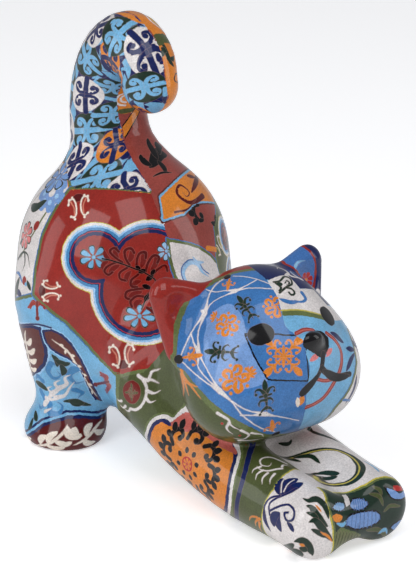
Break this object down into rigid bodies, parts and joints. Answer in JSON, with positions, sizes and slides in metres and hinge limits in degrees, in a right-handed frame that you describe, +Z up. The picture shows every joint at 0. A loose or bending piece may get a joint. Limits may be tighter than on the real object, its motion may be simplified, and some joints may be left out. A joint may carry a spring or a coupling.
{
  "type": "cat figurine",
  "caption": "Glazed ceramic figurine of a cat stretching, front down and rump and hooked tail up, covered all over in a patchwork of tile-style painted ornament.",
  "frame": {"origin": "on the surface it stands on, under the middle of the bounding box", "axes": "+Z up; -Y is the way the cat faces, so the forelegs lie along -Y and the tail rises at +Y; +X is the cat's left"},
  "size_m": [0.1012, 0.21, 0.1865],
  "materials": {
    "glaze": "clear gloss glaze over a printed patchwork of brick red, blues, olive, orange and off-white; eyes, nose and mouth in black gloss paint"
  },
  "bodies": {
    "root": {"cat_figurine": "glaze"}
  },
  "joints": []
}
